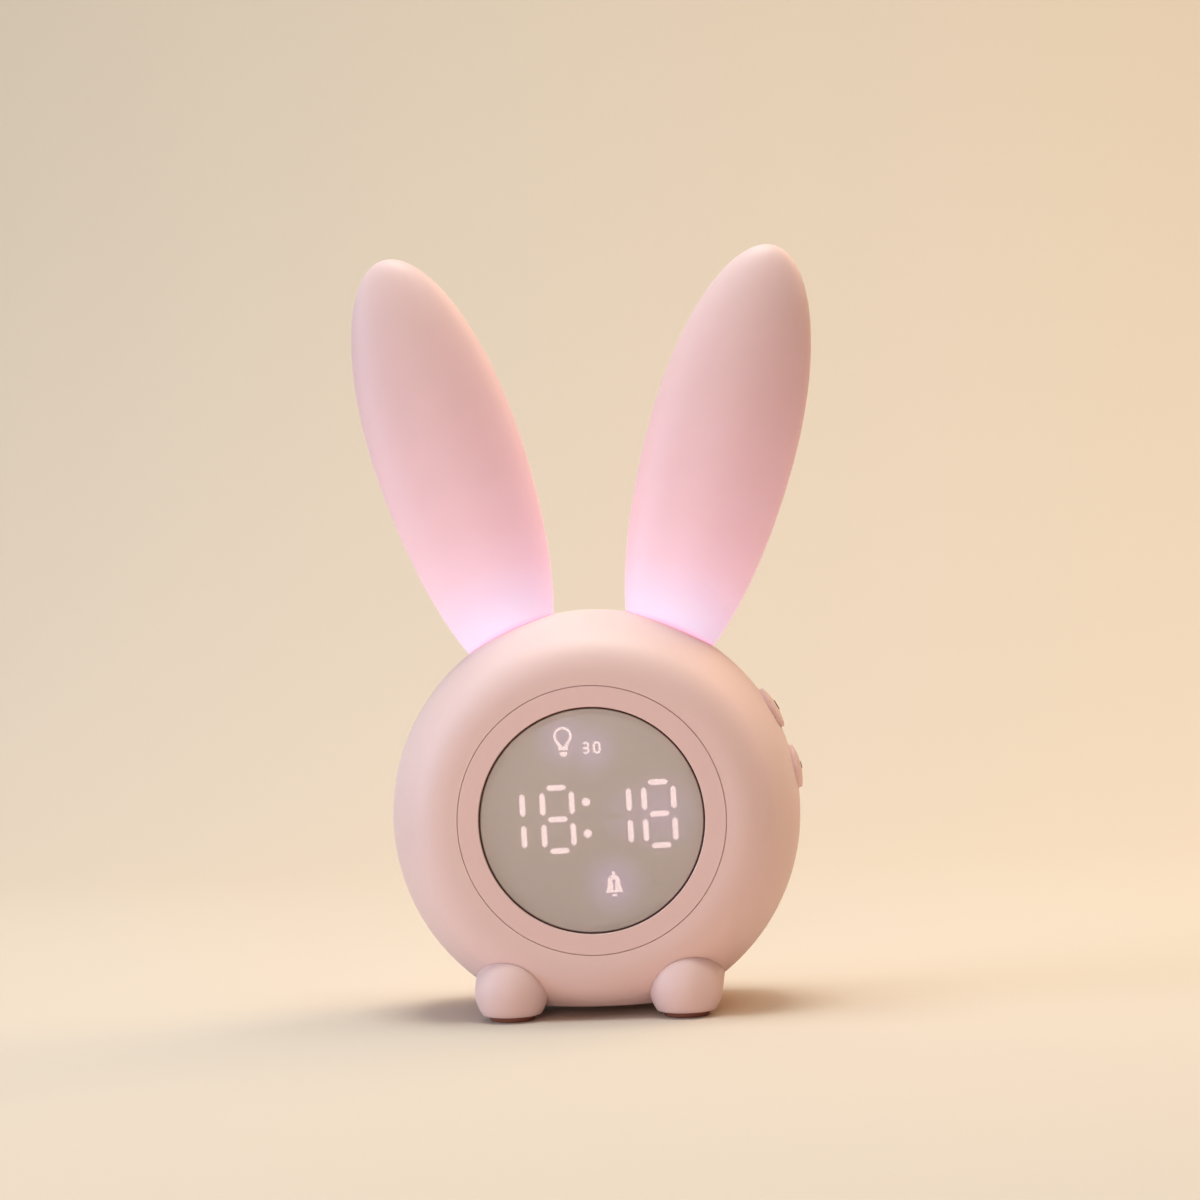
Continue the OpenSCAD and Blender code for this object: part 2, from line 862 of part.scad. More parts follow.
module ear_clamp_screws() {
    color("#b9b4ae") both_sides() along_ear() for (s = [-1, 1])
        translate([s * ear_screw_at, 0, neck_end - clamp_t - 0.05]) mirror([0, 0, 1])
            screw(small_screw, 6);
}

// ------------------------------------------------------------------ feet

// Body's radius at a distance y from its centre plane, with a gap all round, and the height of
// its lower surface over a point of the floor.
function gap_reach(y) = abs(y) < (side_r + foot_fit) * sin(rim_turn)
    ? side_at + sqrt(pow(side_r + foot_fit, 2) - y * y)
    : face_r + sqrt(pow(shoulder_r + foot_fit, 2) - pow(abs(y) - half_depth + shoulder_r, 2));
function body_over(x, y) = abs(y) >= half_depth + foot_fit || abs(x) >= gap_reach(y) ? far
    : axis_z - min(axis_z - ground_gap + foot_fit, sqrt(pow(gap_reach(y), 2) - x * x));

// Ring of points round a foot, at a share of its width: its top, its sole or its widest line.
// r is its half width, and tall the height of its top above its widest line.
function foot_ring(ball, end, r, tall, part, j) = [
    for (k = [0 : foot_sides - 1]) let (
        a = 360 * k / foot_sides,
        away = ball.y < end.y ? 1 : -1,
        t = min(1, max(0, 0.5 + away * 0.9 * sin(a))),
        c = ball + t * (end - ball),
        share = sin(90 * j / foot_rings),
        x = c.x + share * r * cos(a),
        y = c.y + share * r * sin(a),
        rise = tall * cos(90 * j / foot_rings),
        roof = body_over(x, y),
        top = min(c.z + rise, roof),
        z = part == "top" ? top
            : part == "rim" ? min(c.z, roof - foot_edge / 2)
            : min(max(pad_h, c.z - rise), top - foot_edge)
    ) [x, y, z],
];

// Soft rounded foot: from the middle of its top, over the widest line, to the middle of its
// sole. Its top follows the body where the body stands on it.
module foot_skin(ball, end, r, tall) {
    n = foot_sides;
    rings = [
        for (j = [1 : foot_rings - 1]) foot_ring(ball, end, r, tall, "top", j),
        foot_ring(ball, end, r, tall, "rim", foot_rings),
        for (j = [foot_rings - 1 : -1 : 1]) foot_ring(ball, end, r, tall, "sole", j),
    ];
    last = len(rings) - 1;
    mid = (ball + end) / 2;
    crest = min(mid.z + tall, body_over(mid.x, mid.y));
    points = concat([for (q = rings) each q], [[mid.x, mid.y, crest], [mid.x, mid.y, pad_h]]);
    skin = [
        for (i = [0 : last - 1], k = [0 : n - 1]) let (a = i * n + k, b = i * n + (k + 1) % n)
            each [[a, b, a + n], [b, b + n, a + n]],
    ];
    ends = [
        for (k = [0 : n - 1]) let (m = (k + 1) % n)
            each [[k, (last + 1) * n, m], [last * n + m, (last + 1) * n + 1, last * n + k]],
    ];
    polyhedron(points, concat(skin, ends));
}

// Foot with a seat for its rubber pad and a pilot hole for its screw.
module foot(ball, end, r, tall, pad_d, screw_at) {
    color("#e8c4c0") difference() {
        foot_skin(ball, end, r, tall);
        translate([ball.x, ball.y, 0]) rod(pad_d / 2 + fit, 0, pad_h + pad_sink);
        translate([screw_at.x, screw_at.y, 0])
            rod(small_screw[0] + thread_fit, foot_boss_top - foot_screw_len - 0.3, far);
    }
}

module paw_right() {
    foot(paw_ball, paw_end, paw_r, paw_rise, paw_pad_d, paw_screw_at);
}

module paw_left() {
    left_side() paw_right();
}

module heel_right() {
    foot(heel_ball, heel_end, heel_r, heel_r, heel_pad_d, heel_screw_at);
}

module heel_left() {
    left_side() heel_right();
}

// Rubber disc with a rounded lower edge.
module pad(r) {
    soft = 0.6;
    color("#8d5f55") rotate_extrude() {
        square([r - soft, pad_h + pad_sink]);
        translate([0, soft]) square([r, pad_h + pad_sink - soft]);
        translate([r - soft, soft]) circle(soft);
    }
}

module paw_pad_right() {
    translate([paw_ball.x, paw_ball.y, 0]) pad(paw_pad_d / 2);
}

module paw_pad_left() {
    left_side() paw_pad_right();
}

module heel_pad_right() {
    translate([heel_ball.x, heel_ball.y, 0]) pad(heel_pad_d / 2);
}

module heel_pad_left() {
    left_side() heel_pad_right();
}

module foot_screws() {
    color("#b9b4ae") at_foot_screws() translate([0, 0, foot_boss_top])
        screw(small_screw, foot_screw_len);
}

// ------------------------------------------------------------------ side buttons

// Domed cap, with a flange that stops it and a stem that presses its switch. The light button
// is the upper one (side -1) and the alarm button the lower one (side +1).
module button(side) {
    turn = side * button_step / 2;
    crown = body_r + button_proud - crown_r;
    color("#e6c0bb") out_of_side() translate([side * button_off, 0, 0]) {
        intersection() {
            rod(button_r, button_seat - flange_t / 2, far / 10);
            translate([crown * sin(turn) - side * button_off, 0, crown * cos(turn)])
                sphere(crown_r);
        }
        rod(flange_r, button_seat - flange_t - 0.05, flange_t);
        rod(stem_r, plunger_top, stem_len);
    }
}

module light_button() {
    button(-1);
}

module alarm_button() {
    button(1);
}

module plunger(side) {
    color("#2b2b2b") out_of_side() translate([side * button_off, 0, 0])
        rod(plunger_r, plunger_top - plunger_len, plunger_len);
}

module light_switch_plunger() {
    plunger(-1);
}

module alarm_switch_plunger() {
    plunger(1);
}

// Tactile switch body, with a bore that its plunger runs in.
module tact_switch(side) {
    color("#4a4a4c") out_of_side() translate([side * button_off, 0, 0]) difference() {
        block([switch_size, switch_size], button_board_top, switch_t);
        rod(plunger_r + 0.05, plunger_top - plunger_len - button_travel - 0.1, far);
    }
}

module light_switch() {
    tact_switch(-1);
}

module alarm_switch() {
    tact_switch(1);
}

module button_board() {
    color("#2f6b4a") difference() {
        out_of_side() block(button_board_size, button_board_top - board_t, board_t);
        at_button_posts() rod(small_screw[0] + fit, 0, far);
    }
}

module button_board_screws() {
    color("#b9b4ae") at_button_posts() translate([0, 0, button_board_top - board_t])
        mirror([0, 0, 1]) screw(small_screw, 6);
}

// ------------------------------------------------------------------ main board

module at_main_screws() {
    for (x = [-1, 1], y = [-1, 1])
        translate([x * main_screw_at.x, main_up + y * main_screw_at.y, 0]) children();
}

module main_board() {
    color("#2f6b4a") backward() difference() {
        translate([0, main_up, 0]) block(main_size, main_board_y - board_t, board_t);
        at_main_screws() rod(small_screw[0] + fit, 0, far);
    }
}

module main_board_screws() {
    color("#b9b4ae") backward() at_main_screws() translate([0, 0, main_board_y - board_t])
        mirror([0, 0, 1]) screw(small_screw, 5);
}

module clock_chip() {
    color("#2b2b2b") backward() translate([0, -12, 0]) block([10, 6], main_board_y, 1.7);
}

// Crystal, charger chip, regulator and capacitors, on the back of the board.
module board_parts() {
    color("#8a8378") backward() {
        translate([-14, -9, 0]) block([6, 5], main_board_y, 1.5);
        translate([13, -9, 0]) block([4, 3.5], main_board_y, 1.4);
        translate([0, -22, 0]) block([7, 2.4], main_board_y, 2.4);
        for (x = [-16, 19]) translate([x, -19, 0]) rod(2.5, main_board_y, 5.4);
    }
}

module board_connectors() {
    color("#efece2") backward() for (x = connectors) translate([x, connector_up, 0])
        block([connector.x, connector.z], main_board_y - board_t - connector.y, connector.y);
}

// Charging socket: a flat metal shell with a tongue on its rear wall.
module usb_socket() {
    skin = [0.35, 0.35];
    color("#c9ccd0") backward() translate(usb_at) {
        difference() {
            slab(usb_size / 2, main_board_y, usb_len);
            slab(usb_size / 2 - skin, main_board_y + 3, far);
        }
        block([6.6, 0.7], main_board_y + 2.5, usb_len - 3.5);
    }
}

module power_switch() {
    stem = [3, 1.6];
    color("#9aa0a4") backward() translate(slider_at) difference() {
        block(switch_body, main_board_y, switch_body.z);
        block([stem.x + slider_travel + 0.6, stem.y + 0.4], main_board_y + 1.4, far);
    }
}

// Ribbed cap of the power switch, at the end of its slot.
module power_slider() {
    stem = [3, 1.6];
    stem_end = main_board_y + 1.7;
    cap_at = main_board_y + switch_body.z + 0.2;
    top = half_depth + slider_proud;
    color("#6b6461") backward() translate([slider_at.x - slider_travel / 2, slider_at.y, 0])
        difference() {
            union() {
                block(stem, stem_end, cap_at + 0.1 - stem_end);
                block(slider_size, cap_at, top - cap_at);
            }
            for (x = [-1, 0, 1]) translate([x * 1.4, 0, 0])
                block([0.5, far], top - 0.4, far);
        }
}

// ------------------------------------------------------------------ speaker and battery

module at_speaker() {
    backward() translate([0, speaker_up, 0]) children();
}

module speaker_gasket() {
    color("#4a4644") at_speaker() difference() {
        rod(speaker_r, speaker_front, gasket_t - 0.02);
        rod(basket_r, 0, far);
    }
}

// Pressed steel basket: a flat rim and a tapered wall down to the magnet.
module speaker_frame() {
    low = speaker_back + magnet_t;
    color("#a9adb0") at_speaker() rotate_extrude() polygon([
        [basket_r, speaker_front - 1.5], [speaker_r, speaker_front - 1.5],
        [speaker_r, speaker_front], [basket_r, speaker_front],
        [basket_r - 1, speaker_front - 1.5], [magnet_r, low + 1.2], [coil_r + 1.4, low + 1.2],
        [coil_r + 1.4, low], [magnet_r + 0.6, low],
    ]);
}

module speaker_magnet() {
    low = speaker_back;
    color("#5d6063") at_speaker() difference() {
        rod(magnet_r, low, magnet_t - 0.02);
        difference() {
            rod(coil_r + 0.8, low + 1.5, far);
            rod(coil_r - 0.8, 0, far);
        }
    }
}

// Paper cone with its dust cap and the voice coil that drives it.
module speaker_cone() {
    rim = basket_r - 1 - cone_gap;
    top = speaker_front - 1;
    low = speaker_back + magnet_t + 2.2;
    coil = 0.45;
    color("#3b3836") at_speaker() rotate_extrude() polygon([
        [coil_r - coil, speaker_back + 3.5], [coil_r + coil, speaker_back + 3.5],
        [coil_r + coil, low], [rim - 1.5, top - 0.6], [rim - 0.4, top - 0.6],
        [rim - 0.4, top], [rim - 1.8, top], [coil_r, low + 1.2], [0, low + 2.4],
        [0, low + 1.6], [coil_r - coil, low + 0.4],
    ]);
}

module battery() {
    round = 2;
    size = [battery_w / 2 - round, battery_h / 2 - round];
    low = main_board_y - board_t - tape_t - battery_t;
    color("#3f6f9b") backward() translate([0, battery_up, low]) linear_extrude(battery_t - 0.02) {
        square([2 * size.x + 2 * round, 2 * size.y], center = true);
        square([2 * size.x, 2 * size.y + 2 * round], center = true);
        for (x = [-1, 1], y = [-1, 1]) translate([x * size.x, y * size.y]) circle(round);
    }
}

module battery_tape() {
    color("#e9e6dc") backward() translate([0, battery_up, 0])
        block([battery_w * 0.7, battery_h * 0.7], main_board_y - board_t - tape_t, tape_t - 0.02);
}

// ------------------------------------------------------------------ leads

// Each route is a list of points, with z from the body's axis. Ends that meet another piece
// are worked out from it.
plug_y = main_board_y - board_t - connector.y;
battery_top = battery_up + battery_h / 2;
ear_tail = [ear_root.x + (neck_end - clamp_t - 0.1) * sin(ear_tilt),
    ear_root.y + (neck_end - clamp_t - 0.1) * cos(ear_tilt)];
button_tail = [(button_board_top - board_t - 0.1) * cos(button_at),
    (button_board_top - board_t - 0.1) * sin(button_at)];

module battery_lead() {
    color("#c23b36") lead([
        [-6, plug_y - 2, battery_top + 0.05], [-6, plug_y - 2, battery_top + 2],
        [-6, plug_y - 4, battery_top + 5], [-4, plug_y - 3, connector_up],
        [-4, plug_y - 0.05, connector_up],
    ]);
}

module speaker_lead() {
    at = speaker_up - speaker_r * 0.66;
    color("#333333") lead([
        [-speaker_r * 0.66, speaker_front - 1.7, at], [-speaker_r * 0.68, speaker_front - 6, at],
        [-14, plug_y - 4, 2], [-12, plug_y - 4, connector_up + 1],
        [-12, plug_y - 0.05, connector_up],
    ]);
}

module display_lead() {
    color("#d8d4cb") lead([
        [4, -display_board_back + 0.05, -3], [4, 4 - display_board_back, -3], [3, -6, -6],
        [4, 2, -7], [4, plug_y - 3, connector_up], [4, plug_y - 0.05, connector_up],
    ]);
}

module button_lead() {
    color("#d8d4cb") lead([
        [button_tail.x, 0, button_tail.y], [button_tail.x - 4, -1, button_tail.y - 2],
        [28, -6, 3], [17, -5, -5], [12, plug_y - 5, connector_up - 1],
        [12, plug_y - 0.05, connector_up],
    ]);
}

module ear_lead() {
    color("#d8d4cb") lead([
        [ear_tail.x, 0, ear_tail.y], [ear_tail.x - 0.6, 0, ear_tail.y - 3], [23, -2, 30],
        [25, -3, 14], [21, 0, -2], [20, plug_y - 4, connector_up],
        [20, plug_y - 0.05, connector_up],
    ]);
}

module ear_lead_right() {
    ear_lead();
}

module ear_lead_left() {
    left_side() ear_lead();
}

// ------------------------------------------------------------------ nodes

front_shell();
rear_cover();
bezel_ring();
lens_seal();
display_lens();
display_mask();
display_segments();
display_icons();
display_board();
display_leds();
bezel_screws();
display_board_screws();
ear_left();
ear_right();
ear_clamp_left();
ear_clamp_right();
ear_light_board_left();
ear_light_board_right();
ear_leds_left();
ear_leds_right();
ear_clamp_screws();
paw_left();
paw_right();
paw_pad_left();
paw_pad_right();
heel_left();
heel_right();
heel_pad_left();
heel_pad_right();
foot_screws();
light_button();
alarm_button();
light_switch();
alarm_switch();
light_switch_plunger();
alarm_switch_plunger();
button_board();
button_board_screws();
main_board();
main_board_screws();
clock_chip();
board_parts();
board_connectors();
usb_socket();
power_switch();
power_slider();
speaker_frame();
speaker_magnet();
speaker_cone();
speaker_gasket();
battery();
battery_tape();
battery_lead();
speaker_lead();
display_lead();
button_lead();
ear_lead_left();
ear_lead_right();
cover_screws();
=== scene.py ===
import bpy
from math import asin, atan, cos, pi, radians, sin, sqrt
from mathutils import Matrix, Vector


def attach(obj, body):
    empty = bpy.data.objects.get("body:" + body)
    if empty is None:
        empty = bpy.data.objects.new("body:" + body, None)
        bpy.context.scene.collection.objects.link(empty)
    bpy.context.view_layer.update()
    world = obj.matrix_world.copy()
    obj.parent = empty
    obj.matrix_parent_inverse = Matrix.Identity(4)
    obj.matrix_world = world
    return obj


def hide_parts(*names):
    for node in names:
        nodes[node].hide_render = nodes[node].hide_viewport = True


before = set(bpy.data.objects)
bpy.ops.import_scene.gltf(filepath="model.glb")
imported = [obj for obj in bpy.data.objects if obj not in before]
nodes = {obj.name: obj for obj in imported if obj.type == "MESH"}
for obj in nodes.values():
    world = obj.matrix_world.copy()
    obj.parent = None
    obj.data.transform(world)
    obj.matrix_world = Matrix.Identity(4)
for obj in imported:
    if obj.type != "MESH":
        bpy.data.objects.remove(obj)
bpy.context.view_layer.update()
MM = 0.001


# ---------------------------------------------------------------- shells
# Front shell and rear cover: two deep cups of injection moulded ABS, sprayed with a soft-touch
# blush lacquer that hides the moulding's gloss. They meet on a lip behind the middle and are
# held by five screws from the back.

def linear(colour):
    """An sRGB hex colour as linear values with an alpha of 1."""
    parts = [int(colour[i:i + 2], 16) / 255 for i in (1, 3, 5)]
    return [p / 12.92 if p <= 0.04045 else ((p + 0.055) / 1.055) ** 2.4 for p in parts] + [1]


def add(material, kind, sockets=None, **settings):
    """Adds a node. A socket is given a plain value, or another node's output to link to."""
    made = material.node_tree.nodes.new("ShaderNode" + kind)
    for name, value in settings.items():
        setattr(made, name, value)
    for name, value in (sockets or {}).items():
        if isinstance(value, bpy.types.NodeSocket):
            material.node_tree.links.new(value, made.inputs[name])
        else:
            made.inputs[name].default_value = value
    return made


def blank(name):
    """A new material with no nodes yet."""
    material = bpy.data.materials.new(name)
    material.use_nodes = True
    material.node_tree.nodes.clear()
    return material


def grained(name, colour, other, patch, rough, rougher, grain, relief, **surface):
    """A finish whose colour drifts between two near tones over patches, with a grain in its
    gloss and its relief. patch and grain are in mm, relief is the grain's height in mm, and
    surface holds plain values for the shader's own sockets, with _ for a space."""
    material = blank(name)
    place = add(material, "TexCoord").outputs["Object"]
    drift = add(material, "TexNoise", {"Vector": place, "Scale": 1000 / patch, "Detail": 2.0})
    tone = add(material, "Mix", {0: drift.outputs["Fac"], 6: linear(colour), 7: linear(other)},
               data_type="RGBA")
    bumps = add(material, "TexNoise", {"Vector": place, "Scale": 1000 / grain, "Detail": 3.0})
    gloss = add(material, "MapRange", {"Value": bumps.outputs["Fac"], "From Min": 0.3,
                                       "From Max": 0.7, "To Min": rough, "To Max": rougher})
    skin = add(material, "Bump", {"Height": bumps.outputs["Fac"], "Distance": relief * MM,
                                  "Strength": 1.0})
    shader = add(material, "BsdfPrincipled", {
        "Base Color": tone.outputs[2], "Roughness": gloss.outputs["Result"],
        "Normal": skin.outputs["Normal"],
        **{key.replace("_", " "): value for key, value in surface.items()}})
    add(material, "OutputMaterial", {"Surface": shader.outputs["BSDF"]})
    return material


def dress(material, *names):
    """Gives CAD nodes their finish."""
    for name in names:
        nodes[name].data.materials.clear()
        nodes[name].data.materials.append(material)


# ABS under soft-touch lacquer: matt, a little velvety at grazing angles, with a fine spray grain
lacquer = grained("abs_soft_touch_blush", "#ebcac5", "#e8c4c0", 40, 0.52, 0.6, 0.35, 0.004,
                  Sheen_Weight=0.12, Sheen_Roughness=0.45)
dress(lacquer, "front_shell", "rear_cover")


# ---------------------------------------------------------------- bezel ring
# Flat ring round the display, moulded ABS in the same blush but without the lacquer's nap, so
# it is a touch smoother. It sits flush in the shell with a hairline gap, on four screws.

# Satin ABS from a fine spark-eroded mould
satin = grained("abs_satin_blush", "#e8c4c1", "#e5c0bc", 30, 0.42, 0.5, 0.25, 0.003)
dress(satin, "bezel_ring")


# ---------------------------------------------------------------- lens and its seal
# Tinted acrylic disc with a half-mirror film on its back: it looks a warm grey until the bars
# behind it are lit. A thin ring of dark foam tape round its edge keeps dust and light in.

# Half-mirrored PMMA: of the light, a quarter comes through its two faces and the rest is given
# back, so it hides what is unlit behind it
mirror = blank("pmma_half_mirror_taupe")
place = add(mirror, "TexCoord").outputs["Object"]
haze = add(mirror, "TexNoise", {"Vector": place, "Scale": 1000 / 55, "Detail": 1.0})
tone = add(mirror, "Mix", {0: haze.outputs["Fac"], 6: linear("#e6d6cf"), 7: linear("#dfcfc6")},
           data_type="RGBA")
wave = add(mirror, "TexNoise", {"Vector": place, "Scale": 1000 / 3, "Detail": 2.0})
polish = add(mirror, "MapRange", {"Value": wave.outputs["Fac"], "To Min": 0.2, "To Max": 0.26})
film = add(mirror, "BsdfPrincipled", {
    "Base Color": tone.outputs[2], "Roughness": polish.outputs["Result"],
    "Alpha": 0.5, "IOR": 1.49})
add(mirror, "OutputMaterial", {"Surface": film.outputs["BSDF"]})
dress(mirror, "display_lens")

# Closed-cell PU foam tape: matt, dark brown, slightly pitted
foam = grained("pu_foam_tape_brown", "#4a2a22", "#3c221c", 3, 0.8, 0.92, 0.4, 0.02)
dress(foam, "lens_seal")


# ---------------------------------------------------------------- lit digits and icons
# Milky diffuser bars in the wells of the light mask, right behind the lens. LEDs light the bars
# that make up the time and the three icons; the bars that are off are painted dark, painted shade
# for how they stay dark behind the film.

# In mm: the height of the clock's axis, and of what lies on it or forward of its middle
AXIS_Z = 52.3
LENS_BACK = 25.6
# The row of digits, turned a little in its seat, across and up from the lens centre
TURN = radians(1.5)
DIGIT_AT = (-21.9, -8.9, 6.1, 17.8)
COLON_AT = -1.3
ROW_UP = 0.6
DIGIT_W, DIGIT_H = 7.7, 18.2
BAR_W = 1.65
BAR_T = 0.95
BAR_FRONT = LENS_BACK - 0.05
COLON_R = 1.1
# How far the ends of a flat bar and of an upright one stay back from the digit's corners
BAR_BACK = (1.2, 1.1)
STEP = (DIGIT_H - BAR_W) / 4
FLAT_LEN = DIGIT_W - 2 * BAR_BACK[0]
TALL_LEN = 2 * STEP - 2 * BAR_BACK[1]
# Bars of a one and of an eight, as (across, up) in half digits; the rest of a one is off
ONE = ((1, 1), (1, -1))
EIGHT = ((-1, 1), (-1, -1), (1, 1), (1, -1), (0, 2), (0, 0), (0, -2))


def fresh(add_primitive, **where):
    """Starts a new piece from a primitive, with nothing else selected."""
    if bpy.context.mode != "OBJECT":
        bpy.ops.object.mode_set(mode="OBJECT")
    bpy.ops.object.select_all(action="DESELECT")
    add_primitive(**where)
    return bpy.context.object


def pick(piece, test, kind="VERT"):
    """Selects in edit mode the vertices, edges or faces whose middle passes the test."""
    bpy.ops.object.mode_set(mode="OBJECT")
    mesh = piece.data
    for part in (*mesh.vertices, *mesh.edges, *mesh.polygons):
        part.select = False
    for part in {"VERT": mesh.vertices, "EDGE": mesh.edges, "FACE": mesh.polygons}[kind]:
        ends = part.co if kind == "VERT" else sum(
            (mesh.vertices[v].co for v in part.vertices), Vector()) / len(part.vertices)
        part.select = bool(test(ends))
    bpy.ops.object.mode_set(mode="EDIT")
    bpy.ops.mesh.select_mode(type=kind)


def settle(piece, name, body, material, angle=40):
    """Ends a piece: its place goes into its mesh, and it gets its name, finish and body."""
    if bpy.context.mode != "OBJECT":
        bpy.ops.object.mode_set(mode="OBJECT")
    bpy.ops.object.select_all(action="DESELECT")
    piece.select_set(True)
    bpy.context.view_layer.objects.active = piece
    bpy.ops.object.transform_apply(location=True, rotation=True, scale=True)
    bpy.ops.object.shade_smooth_by_angle(angle=radians(angle))
    piece.name = piece.data.name = name
    piece.data.materials.clear()
    piece.data.materials.append(material)
    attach(piece, body)
    return piece


def joined(pieces):
    """Joins pieces into the first of them."""
    bpy.ops.object.select_all(action="DESELECT")
    for piece in pieces:
        piece.select_set(True)
    bpy.context.view_layer.objects.active = pieces[0]
    bpy.ops.object.join()
    return pieces[0]


def on_display(across, up, tall):
    """Place and turn of a bar on the display, which is turned a little in its seat."""
    turned = Matrix.Rotation(TURN, 4, "Y").inverted() @ Vector((across, 0, up))
    return ((turned.x * MM, -(BAR_FRONT - BAR_T / 2) * MM, (AXIS_Z + turned.z) * MM),
            (pi / 2, -TURN + (pi / 2 if tall else 0), 0))


def bar(across, up, tall):
    """One bar with pointed ends: a six-sided slug drawn out along its length."""
    length = TALL_LEN if tall else FLAT_LEN
    at, turn = on_display(across, up, tall)
    slug = fresh(bpy.ops.mesh.primitive_cylinder_add, vertices=6, radius=BAR_W / 2 * MM,
                 depth=BAR_T * MM, location=at)
    bpy.ops.object.mode_set(mode="EDIT")
    bpy.ops.transform.rotate(value=radians(30), orient_axis="Z", center_override=at)
    for side in (-1, 1):
        pick(slug, lambda co: co.x * side > BAR_W * 0.1 * MM)
        bpy.ops.transform.translate(value=(side * (length - BAR_W) / 2 * MM, 0, 0))
    bpy.ops.object.mode_set(mode="OBJECT")
    slug.rotation_euler = turn
    return slug


lit, dark = [], []
for digit, across in zip((ONE, EIGHT, ONE, EIGHT), DIGIT_AT):
    # The first digit has no bar at its upper left
    for x, y in EIGHT[1:] if across == DIGIT_AT[0] else EIGHT:
        slug = bar(across + x * DIGIT_W / 2, ROW_UP + y * STEP, x != 0)
        (lit if (x, y) in digit else dark).append(slug)
for y in (-1, 1):
    at, turn = on_display(COLON_AT, ROW_UP + y * STEP, False)
    lit.append(fresh(bpy.ops.mesh.primitive_cylinder_add, vertices=32, radius=COLON_R * MM,
                     depth=BAR_T * MM, location=at, rotation=turn))

# Opal PMMA diffuser, lit from behind: a pinkish white, even but for a faint mottle of pigment
glow = blank("pmma_opal_lit")
place = add(glow, "TexCoord").outputs["Object"]
mottle = add(glow, "TexNoise", {"Vector": place, "Scale": 1000 / 4, "Detail": 1.0})
tone = add(glow, "Mix", {0: mottle.outputs["Fac"], 6: linear("#fff0f6"), 7: linear("#fae8f0")},
           data_type="RGBA")
shine = add(glow, "BsdfPrincipled", {
    "Base Color": tone.outputs[2], "Roughness": 0.5, "Emission Color": tone.outputs[2],
    "Emission Strength": 1.15})
add(glow, "OutputMaterial", {"Surface": shine.outputs["BSDF"]})

# The same opal bars with no light behind them are painted as dark as the mask, painted shade for
# the dark wells behind the lens, so they hardly show
off = grained("pmma_opal_unlit_painted_shade", "#2b2422", "#262020", 4, 0.5, 0.6, 0.5, 0.002)

for bars, name, material in ((lit, "bars_lit", glow), (dark, "bars_off", off)):
    piece = settle(joined(bars), name, "clock_body", material)
    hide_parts("display_segments")
dress(glow, "display_icons")


# ---------------------------------------------------------------- light mask
# Black ABS block with a well for every bar. Around the lit icons and digits a little light gets
# between the mask and the lens, which is painted onto the mask as a soft violet glow.

# Matt black ABS with a moulded grit, and the leaked light painted on as a glow that fades with
# distance
mask = blank("abs_black_light_mask_painted_glow")
place = add(mask, "TexCoord").outputs["Object"]
haze = None
# Across and up from the lens centre, reach and strength of each patch of painted glow, in mm
for x, z, reach, strength in ((-6.6, 21, 11, 0.4), (0.4, 18.6, 10, 0.4), (17.8, 1.4, 15, 0.32),
                              (9, 1, 12, 0.2), (5.2, -17, 12, 0.44), (-9, 0.4, 12, 0.05)):
    gap = add(mask, "VectorMath", {
        0: place, 1: (x * MM, -LENS_BACK * MM, (AXIS_Z + z) * MM)}, operation="DISTANCE")
    patch = add(mask, "MapRange", {"Value": gap.outputs["Value"], "From Max": reach * MM,
                                   "To Min": strength, "To Max": 0.0},
                interpolation_type="SMOOTHERSTEP").outputs["Result"]
    haze = patch if haze is None else add(
        mask, "Math", {0: haze, 1: patch}, operation="MAXIMUM").outputs["Value"]
grit = add(mask, "TexNoise", {"Vector": place, "Scale": 1000 / 0.5, "Detail": 2.0})
rough = add(mask, "MapRange", {"Value": grit.outputs["Fac"], "To Min": 0.45, "To Max": 0.6})
leak = add(mask, "BsdfPrincipled", {
    "Base Color": linear("#241d1c"), "Roughness": rough.outputs["Result"],
    "Emission Color": linear("#b89cff"), "Emission Strength": haze})
add(mask, "OutputMaterial", {"Surface": leak.outputs["BSDF"]})
dress(mask, "display_mask")


# ---------------------------------------------------------------- display board
# Round green board behind the mask with an LED under every bar, on three small screws; four
# more hold the bezel ring into the shell.

# FR4 glass laminate under green solder mask: semi-gloss, with the weave just showing
laminate = grained("fr4_green_mask", "#2f6b4a", "#285f41", 0.8, 0.3, 0.42, 0.5, 0.004)
# Injection moulded white LED bodies
led_white = grained("ppa_led_white", "#efece0", "#e6e2d4", 1, 0.4, 0.5, 0.3, 0.002)
# Zinc-plated steel screws: turned, so faint rings, and a cool grey
zinc = grained("steel_zinc_plated", "#b9b8b3", "#a5a39c", 1.2, 0.28, 0.42, 0.2, 0.003,
               Metallic=1.0)
dress(laminate, "display_board", "main_board", "button_board")
dress(led_white, "display_leds", "ear_leds_left", "ear_leds_right")
dress(zinc, "display_board_screws", "bezel_screws", "ear_clamp_screws", "foot_screws",
      "button_board_screws", "main_board_screws", "cover_screws")


# ---------------------------------------------------------------- ears
# Two hollow ears blow moulded in milky pink silicone, 1.8 mm thick. Each is trimmed to the
# curve of the body, goes through the shell on a short neck and is lit from that root.

# The body's outside in mm: a flat face, a round shoulder and a wider arc round the side
BODY_R = 55
HALF_DEPTH = 28
FACE_R = 38
SHOULDER_R = 12
SIDE_R = SHOULDER_R + (HALF_DEPTH - SHOULDER_R) / sin(2 * atan(
    (BODY_R - FACE_R - SHOULDER_R) / (HALF_DEPTH - SHOULDER_R)))
SIDE_AT = BODY_R - SIDE_R
GROUND_GAP = 2.7
